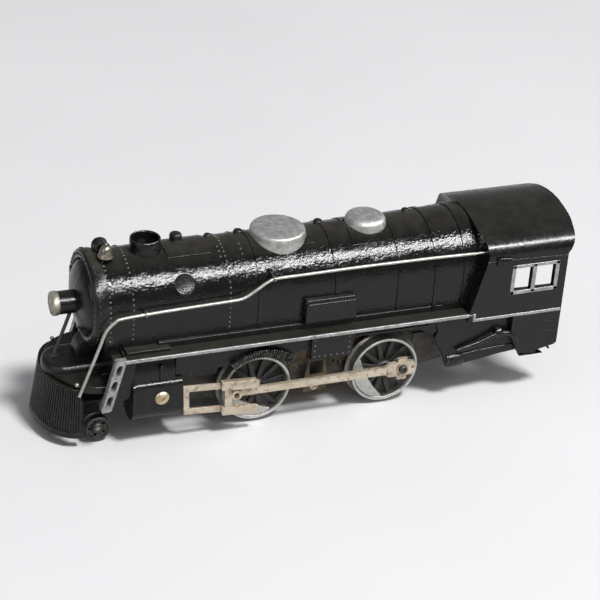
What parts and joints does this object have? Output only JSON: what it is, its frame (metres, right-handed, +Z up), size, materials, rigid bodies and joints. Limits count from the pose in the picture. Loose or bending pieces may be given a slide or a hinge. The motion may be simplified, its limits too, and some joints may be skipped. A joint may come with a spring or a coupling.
{
  "type": "toy locomotive",
  "caption": "Toy steam locomotive with a closed cab, geared driving wheels, side rods, crossheads, a swinging pilot truck and a rounded ribbed pilot.",
  "frame": {"origin": "on the plane under the wheel flanges, at the middle of the overall length and width", "axes": "+X forward, towards the headlight; +Y the engine's left; +Z up"},
  "size_m": [0.2144, 0.051, 0.0768],
  "materials": {
    "black_enamel": "thick glossy black enamel over a die-cast body, dusty and lumpy",
    "dull_black_paint": "dull worn black paint",
    "silver_paint": "mottled worn silver paint",
    "tinned_steel": "tarnished tinned steel with rusty edges",
    "bare_steel": "aged bare steel",
    "blackened_steel": "blackened sheet steel",
    "black_wheel": "dark grey casting, the drivers' rims bright",
    "brass": "dirty brass",
    "cream_lens": "cloudy cream lens with chipped silver edge",
    "clear_glass": "clear bulb glass",
    "copper_winding": "enamelled copper wire on steel laminations",
    "brown_fibre": "brown fibre board",
    "carbon": "carbon brush"
  },
  "bodies": {
    "chassis": {"boiler_casting": "black_enamel", "boiler_front": "black_enamel", "headlight_lens": "cream_lens", "headlight_bulb": "clear_glass", "smokestack": "black_enamel", "sand_dome": "silver_paint", "steam_dome": "silver_paint", "bell": "brass", "turbo_generator": "dull_black_paint", "handrail": "tinned_steel", "front_rail_post": "tinned_steel", "middle_rail_post": "tinned_steel", "front_brace": "dull_black_paint", "pilot": "dull_black_paint", "cylinder_screw_left": "brass", "cylinder_screw_right": "brass", "crosshead_guide_left": "tinned_steel", "crosshead_guide_right": "tinned_steel", "motor_plate_left": "bare_steel", "motor_plate_right": "bare_steel", "field_core": "blackened_steel", "field_coil": "copper_winding", "brush_plate": "brown_fibre", "front_brush": "carbon", "rear_brush": "carbon", "pickup_plate": "brown_fibre", "pilot_pivot_screw": "brass", "drawbar": "blackened_steel"},
    "rear_wheelset": {"rear_axle": "bare_steel", "rear_driver_left": "black_wheel", "rear_driver_right": "black_wheel", "rear_driver_gear": "brass", "crank_screw_left": "bare_steel", "crank_screw_right": "bare_steel"},
    "front_wheelset": {"front_axle": "bare_steel", "front_driver_left": "black_wheel", "front_driver_right": "black_wheel", "front_driver_gear": "brass"},
    "rear_idler": {"rear_idler_gear": "brass"},
    "front_idler": {"front_idler_gear": "brass"},
    "armature": {"armature_shaft": "bare_steel", "armature_core": "copper_winding", "motor_pinion": "bare_steel"},
    "main_rod_left": {"main_rod_left": "tinned_steel"},
    "main_rod_right": {"main_rod_right": "tinned_steel"},
    "crosshead_left": {"crosshead_left": "tinned_steel"},
    "crosshead_right": {"crosshead_right": "tinned_steel"},
    "pilot_truck": {"pilot_truck_frame": "blackened_steel"},
    "pilot_wheelset": {"pilot_truck_axle": "bare_steel", "pilot_wheel_left": "black_wheel", "pilot_wheel_right": "black_wheel"},
    "front_shoe": {"front_pickup_shoe": "tinned_steel"},
    "rear_shoe": {"rear_pickup_shoe": "tinned_steel"}
  },
  "joints": [
    {"name": "rear_axle_spin", "type": "hinge", "parent": "chassis", "child": "rear_wheelset", "pos_m": [-0.02702, 0, 0.0149], "axis": [0, 1, 0], "continuous": true},
    {"name": "front_axle_spin", "type": "hinge", "parent": "chassis", "child": "front_wheelset", "pos_m": [0.02578, 0, 0.0149], "axis": [0, 1, 0], "continuous": true},
    {"name": "rear_idler_spin", "type": "hinge", "parent": "chassis", "child": "rear_idler", "pos_m": [-0.01164, 0.0123, 0.025], "axis": [0, 1, 0], "continuous": true},
    {"name": "front_idler_spin", "type": "hinge", "parent": "chassis", "child": "front_idler", "pos_m": [0.0104, 0.0123, 0.025], "axis": [0, 1, 0], "continuous": true},
    {"name": "armature_spin", "type": "hinge", "parent": "chassis", "child": "armature", "pos_m": [-0.00062, 0, 0.027], "axis": [0, 1, 0], "continuous": true},
    {"name": "main_rod_left_pin", "type": "hinge", "parent": "rear_wheelset", "child": "main_rod_left", "pos_m": [-0.03304, 0.02215, 0.0164], "axis": [0, 1, 0], "continuous": true},
    {"name": "main_rod_right_pin", "type": "hinge", "parent": "rear_wheelset", "child": "main_rod_right", "pos_m": [-0.03304, -0.02215, 0.0164], "axis": [0, 1, 0], "continuous": true},
    {"name": "crosshead_left_slide", "type": "slide", "parent": "chassis", "child": "crosshead_left", "axis": [0.9984, 0, 0.0558], "range_m": [-0.0002, 0.0122]},
    {"name": "crosshead_right_slide", "type": "slide", "parent": "chassis", "child": "crosshead_right", "axis": [0.9984, 0, 0.0558], "range_m": [-0.0002, 0.0122]},
    {"name": "pilot_truck_swing", "type": "hinge", "parent": "chassis", "child": "pilot_truck", "pos_m": [0.06338, 0, 0.0122], "axis": [0, 0, 1], "range_deg": [-12, 12]},
    {"name": "pilot_wheelset_spin", "type": "hinge", "parent": "pilot_truck", "child": "pilot_wheelset", "pos_m": [0.08738, 0, 0.0058], "axis": [0, 1, 0], "continuous": true},
    {"name": "front_shoe_lift", "type": "slide", "parent": "chassis", "child": "front_shoe", "axis": [0, 0, 1], "range_m": [0, 0.0025], "stiffness_N_per_m": 20, "springref_m": -0.001},
    {"name": "rear_shoe_lift", "type": "slide", "parent": "chassis", "child": "rear_shoe", "axis": [0, 0, 1], "range_m": [0, 0.0025], "stiffness_N_per_m": 20, "springref_m": -0.001}
  ],
  "couplings": [
    {"joint": "front_axle_spin", "follows": "rear_axle_spin", "ratio": 1},
    {"joint": "rear_idler_spin", "follows": "rear_axle_spin", "ratio": -1.3},
    {"joint": "front_idler_spin", "follows": "rear_axle_spin", "ratio": -1.3},
    {"joint": "armature_spin", "follows": "rear_axle_spin", "ratio": 3.25},
    {"joint": "main_rod_left_pin", "follows": "rear_axle_spin", "ratio": -1},
    {"joint": "main_rod_right_pin", "follows": "rear_axle_spin", "ratio": -1}
  ]
}
